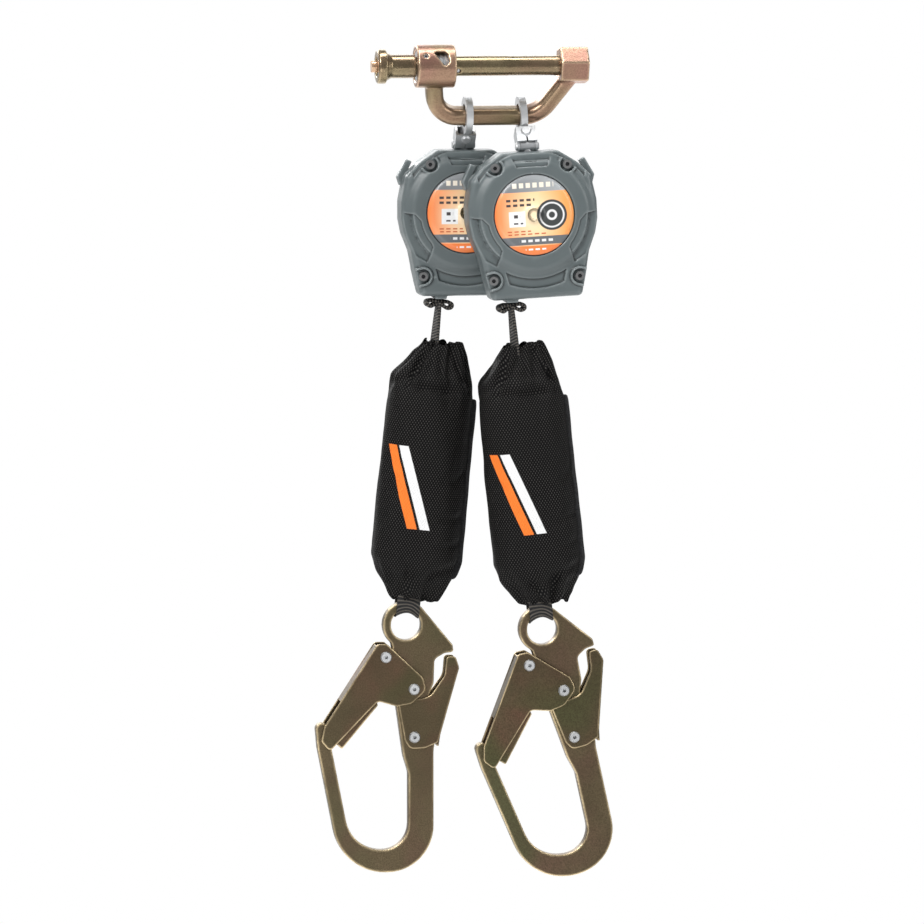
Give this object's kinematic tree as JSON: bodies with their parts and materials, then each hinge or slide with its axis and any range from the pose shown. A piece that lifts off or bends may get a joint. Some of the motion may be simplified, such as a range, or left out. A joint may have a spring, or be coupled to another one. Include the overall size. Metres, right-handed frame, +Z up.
{
  "type": "self retracting lifeline",
  "caption": "Twin-leg personal self-retracting lifeline: a locking-pin harness connector carries two webbing reels on swivels, each with a shock pack and a rebar hook.",
  "frame": {"origin": "on the locking pin's axis at the middle of the strap seat", "axes": "+X along the locking pin towards the end block, -Y towards the faces of the housings, +Z up; the hooks hang towards -Z"},
  "size_m": [0.2502, 0.0864, 0.7097],
  "materials": {
    "forged_gold": "satin yellow zinc on forged steel",
    "pin_gold": "satin yellow zinc on turned steel",
    "hook_gold": "matte olive yellow zinc on forged steel",
    "bright_steel": "polished",
    "plain_steel": "satin",
    "dark_screw": "black oxide",
    "housing_grey": "fine textured moulding",
    "webbing_black": "ribbed woven webbing",
    "cover_black": "ballistic weave",
    "shock_web": "woven tear webbing",
    "button_copper": "satin"
  },
  "bodies": {
    "connector": {"connector_frame": "forged_gold", "collar_sleeve": "plain_steel", "collar_screw": "dark_screw"},
    "pin": {"connector_pin": "pin_gold", "pin_balls": "bright_steel", "pin_spring": "plain_steel"},
    "button": {"pin_button": "button_copper"},
    "left_eye": {"eye_left": "bright_steel"},
    "left_stirrup": {"stirrup_left": "bright_steel", "swivel_pins_left": "bright_steel"},
    "left_post": {"swivel_post_left": "plain_steel"},
    "left_housing": {"load_frame_left": "plain_steel", "front_cover_left": "housing_grey", "rear_cover_left": "housing_grey", "cover_screws_left": "dark_screw", "power_spring_left": "plain_steel", "ratchet_ring_left": "plain_steel", "lead_web_left": "webbing_black"},
    "left_drum": {"drum_left": "plain_steel", "drum_shaft_left": "plain_steel", "wound_web_left": "webbing_black"},
    "left_pawl_a": {"pawl_a_left": "plain_steel"},
    "left_pawl_b": {"pawl_b_left": "plain_steel"},
    "left_line": {"web_stop_left": "webbing_black", "lanyard_web_left": "webbing_black", "shock_pack_left": "shock_web", "pack_cover_left": "cover_black"},
    "left_hook": {"hook_body_left": "hook_gold", "hook_rivets_left": "bright_steel", "hook_springs_left": "plain_steel"},
    "left_gate": {"hook_gate_left": "hook_gold", "gate_rivet_left": "bright_steel"},
    "left_lever": {"hook_lever_left": "hook_gold"},
    "right_eye": {"eye_right": "bright_steel"},
    "right_stirrup": {"stirrup_right": "bright_steel", "swivel_pins_right": "bright_steel"},
    "right_post": {"swivel_post_right": "plain_steel"},
    "right_housing": {"load_frame_right": "plain_steel", "front_cover_right": "housing_grey", "rear_cover_right": "housing_grey", "cover_screws_right": "dark_screw", "power_spring_right": "plain_steel", "ratchet_ring_right": "plain_steel", "lead_web_right": "webbing_black"},
    "right_drum": {"drum_right": "plain_steel", "drum_shaft_right": "plain_steel", "wound_web_right": "webbing_black"},
    "right_pawl_a": {"pawl_a_right": "plain_steel"},
    "right_pawl_b": {"pawl_b_right": "plain_steel"},
    "right_line": {"web_stop_right": "webbing_black", "lanyard_web_right": "webbing_black", "shock_pack_right": "shock_web", "pack_cover_right": "cover_black"},
    "right_hook": {"hook_body_right": "hook_gold", "hook_rivets_right": "bright_steel", "hook_springs_right": "plain_steel"},
    "right_gate": {"hook_gate_right": "hook_gold", "gate_rivet_right": "bright_steel"},
    "right_lever": {"hook_lever_right": "hook_gold"}
  },
  "joints": [
    {"name": "pin_slide", "type": "slide", "parent": "connector", "child": "pin", "axis": [-1, 0, 0], "range_m": [0, 0.095]},
    {"name": "button_press", "type": "slide", "parent": "pin", "child": "button", "axis": [1, 0, 0], "range_m": [0, 0.003], "stiffness_N_per_m": 800, "springref_m": -0.003, "deforming": ["pin_spring"]},
    {"name": "left_eye_swing", "type": "hinge", "parent": "connector", "child": "left_eye", "pos_m": [-0.052, 0.01465, -0.04255], "axis": [1, 0, 0], "range_deg": [0, 45]},
    {"name": "left_stirrup_tilt", "type": "hinge", "parent": "left_eye", "child": "left_stirrup", "pos_m": [-0.052, 0.028, -0.0594], "axis": [0, 0.7839, 0.6209], "range_deg": [0, 12]},
    {"name": "left_post_fold", "type": "hinge", "parent": "left_stirrup", "child": "left_post", "pos_m": [-0.052, 0.03485, -0.06805], "axis": [1, 0, 0], "range_deg": [0, 30]},
    {"name": "left_housing_swivel", "type": "hinge", "parent": "left_post", "child": "left_housing", "pos_m": [-0.052, 0.03485, -0.06805], "axis": [0, 0, 1], "range_deg": [0, 10]},
    {"name": "left_line_payout", "type": "slide", "parent": "left_housing", "child": "left_line", "axis": [-0.1045, 0, -0.9945], "range_m": [0, 1.8], "stiffness_N_per_m": 4, "springref_m": -4.5},
    {"name": "left_drum_spin", "type": "hinge", "parent": "left_housing", "child": "left_drum", "pos_m": [-0.052, 0.03485, -0.12505], "axis": [0, -1, 0], "range_deg": [0, 4321]},
    {"name": "left_pawl_a_swing", "type": "hinge", "parent": "left_drum", "child": "left_pawl_a", "pos_m": [-0.026, 0.02285, -0.12505], "axis": [0, 1, 0], "range_deg": [0, 15], "stiffness_Nm_per_rad": 0.02, "springref_deg": -28.65},
    {"name": "left_pawl_b_swing", "type": "hinge", "parent": "left_drum", "child": "left_pawl_b", "pos_m": [-0.078, 0.02285, -0.12505], "axis": [0, 1, 0], "range_deg": [0, 15]},
    {"name": "left_hook_swing", "type": "hinge", "parent": "left_line", "child": "left_hook", "pos_m": [-0.10227, 0.03485, -0.47751], "axis": [0, 1, 0], "range_deg": [-40, 40]},
    {"name": "left_gate_open", "type": "hinge", "parent": "left_hook", "child": "left_gate", "pos_m": [-0.09597, 0.03485, -0.53241], "axis": [0, -1, 0], "range_deg": [0, 40], "stiffness_Nm_per_rad": 0.3, "springref_deg": -45.84},
    {"name": "left_lever_press", "type": "hinge", "parent": "left_hook", "child": "left_lever", "pos_m": [-0.09537, 0.03485, -0.57401], "axis": [0, -1, 0], "range_deg": [0, 6.2]},
    {"name": "right_eye_swing", "type": "hinge", "parent": "connector", "child": "right_eye", "pos_m": [-0.0055, 0.01465, -0.04255], "axis": [0.9986, 0, 0.0523], "range_deg": [-45, 0]},
    {"name": "right_stirrup_tilt", "type": "hinge", "parent": "right_eye", "child": "right_stirrup", "pos_m": [-0.00462, 0.0013, -0.05938], "axis": [0.0325, 0.7839, -0.6201], "range_deg": [-12, 0]},
    {"name": "right_post_fold", "type": "hinge", "parent": "right_stirrup", "child": "right_post", "pos_m": [-0.00417, -0.00555, -0.06801], "axis": [0.9986, 0, 0.0523], "range_deg": [-30, 0]},
    {"name": "right_housing_swivel", "type": "hinge", "parent": "right_post", "child": "right_housing", "pos_m": [-0.00417, -0.00555, -0.06801], "axis": [-0.0523, 0, 0.9986], "range_deg": [0, 10]},
    {"name": "right_line_payout", "type": "slide", "parent": "right_housing", "child": "right_line", "axis": [0.0958, 0, -0.9954], "range_m": [0, 1.8], "stiffness_N_per_m": 4, "springref_m": -4.5},
    {"name": "right_drum_spin", "type": "hinge", "parent": "right_housing", "child": "right_drum", "pos_m": [-0.00118, -0.00555, -0.12494], "axis": [0, -1, 0], "range_deg": [0, 4321]},
    {"name": "right_pawl_a_swing", "type": "hinge", "parent": "right_drum", "child": "right_pawl_a", "pos_m": [0.02478, -0.01755, -0.12358], "axis": [0, 1, 0], "range_deg": [0, 15], "stiffness_Nm_per_rad": 0.02, "springref_deg": -28.65},
    {"name": "right_pawl_b_swing", "type": "hinge", "parent": "right_drum", "child": "right_pawl_b", "pos_m": [-0.02715, -0.01755, -0.1263], "axis": [0, 1, 0], "range_deg": [0, 15]},
    {"name": "right_hook_swing", "type": "hinge", "parent": "right_line", "child": "right_hook", "pos_m": [0.00856, -0.00555, -0.47864], "axis": [0, 1, 0], "range_deg": [-28, 45]},
    {"name": "right_gate_open", "type": "hinge", "parent": "right_hook", "child": "right_gate", "pos_m": [0.0265, -0.00555, -0.53091], "axis": [0, -1, 0], "range_deg": [0, 40], "stiffness_Nm_per_rad": 0.3, "springref_deg": -45.84},
    {"name": "right_lever_press", "type": "hinge", "parent": "right_hook", "child": "right_lever", "pos_m": [0.03602, -0.00555, -0.57141], "axis": [0, -1, 0], "range_deg": [0, 6.2]}
  ],
  "couplings": [
    {"joint": "left_drum_spin", "follows": "left_line_payout", "rad_per_m": 41.888},
    {"joint": "left_pawl_b_swing", "follows": "left_pawl_a_swing", "ratio": 1},
    {"joint": "left_lever_press", "follows": "left_gate_open", "ratio": 0.15},
    {"joint": "right_drum_spin", "follows": "right_line_payout", "rad_per_m": 41.888},
    {"joint": "right_pawl_b_swing", "follows": "right_pawl_a_swing", "ratio": 1},
    {"joint": "right_lever_press", "follows": "right_gate_open", "ratio": 0.15}
  ]
}
